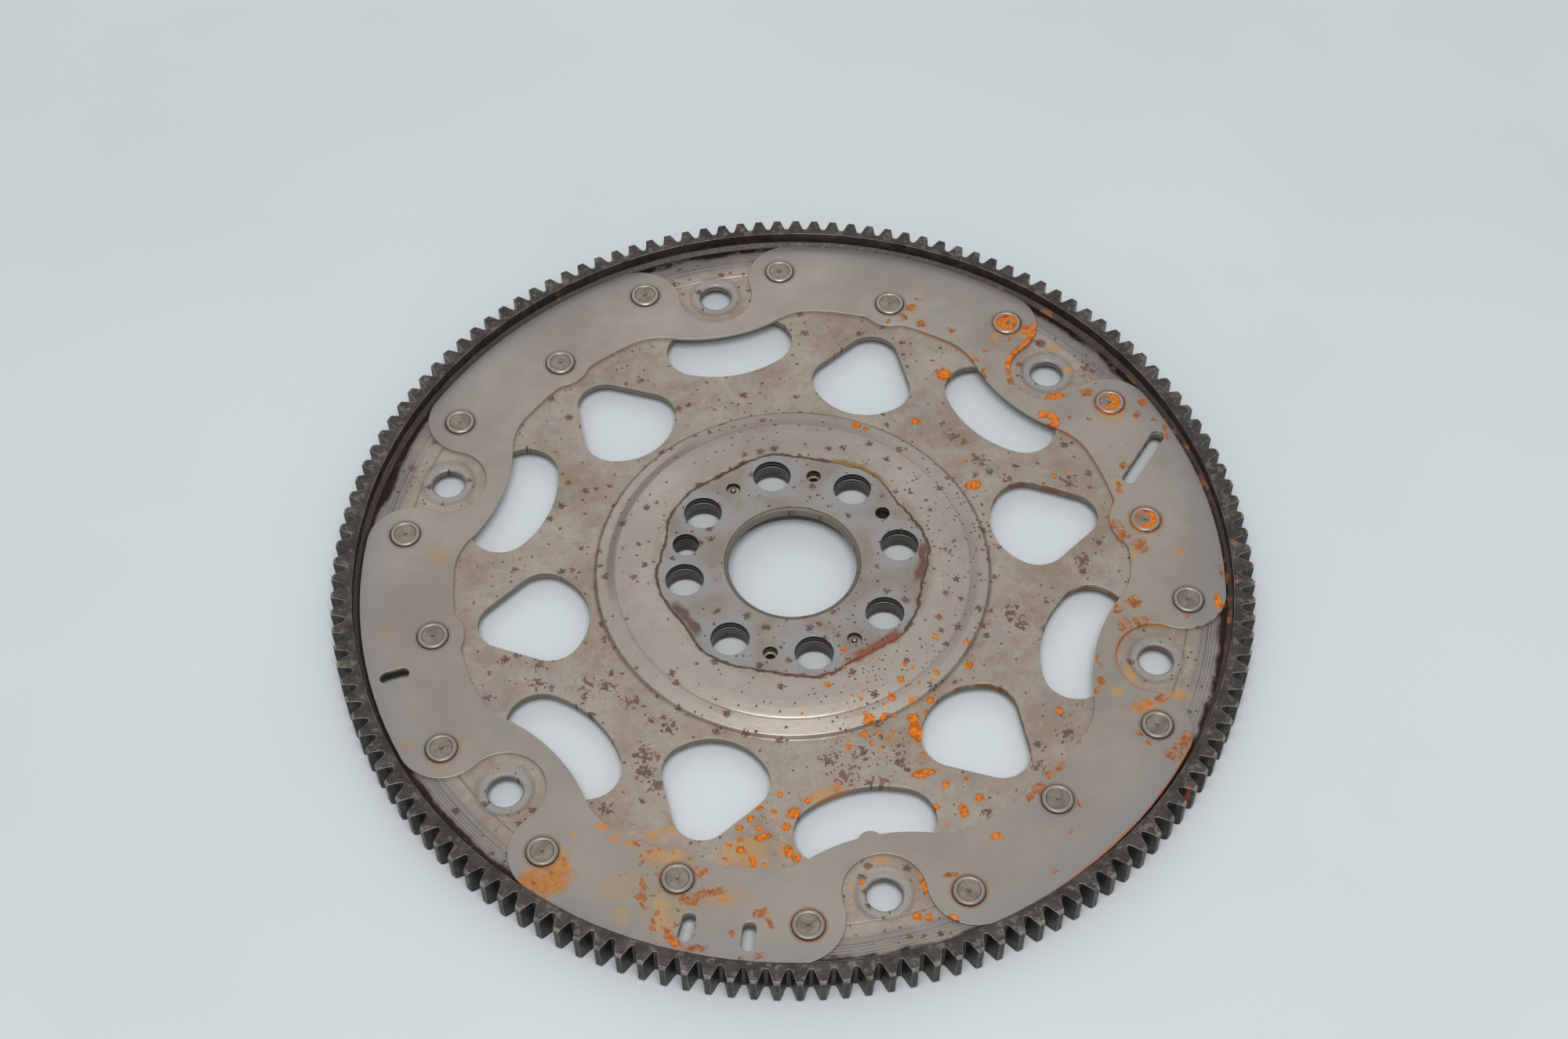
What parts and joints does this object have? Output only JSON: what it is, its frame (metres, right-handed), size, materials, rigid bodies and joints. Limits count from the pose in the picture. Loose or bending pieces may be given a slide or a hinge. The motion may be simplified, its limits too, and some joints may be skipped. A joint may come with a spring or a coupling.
{
  "type": "flexplate",
  "caption": "Stamped steel flexplate with a starter ring gear, a riveted wavy cover ring, windows, kidney slots and a stepped hub, rusted in places.",
  "frame": {"origin": "on the axis, in the plane of the ring gear's lower face that the part rests on", "axes": "+Z along the axis from the crankshaft towards the torque converter, +Y through one converter hole, +X across at right angles to both"},
  "size_m": [0.2984, 0.2984, 0.012],
  "materials": {
    "gear_steel": "dark brown-black heat scale with red-brown rust along the weld and on some teeth",
    "disc_steel": "dull taupe-grey sheet steel with dark rust specks and orange rust spots",
    "cover_steel": "smooth taupe-grey sheet steel with a bright cut edge and orange rust at some edges",
    "rivet_steel": "pressed steel heads, some polished and some rusted orange",
    "spacer_steel": "dull grey turned steel",
    "nipple_steel": "shiny pressed steel"
  },
  "bodies": {
    "root": {"ring_gear": "gear_steel", "drive_disc": "disc_steel", "cover_ring": "cover_steel", "cover_rivets": "rivet_steel", "hub_spacer": "spacer_steel", "spacer_rivets": "nipple_steel"}
  },
  "joints": []
}
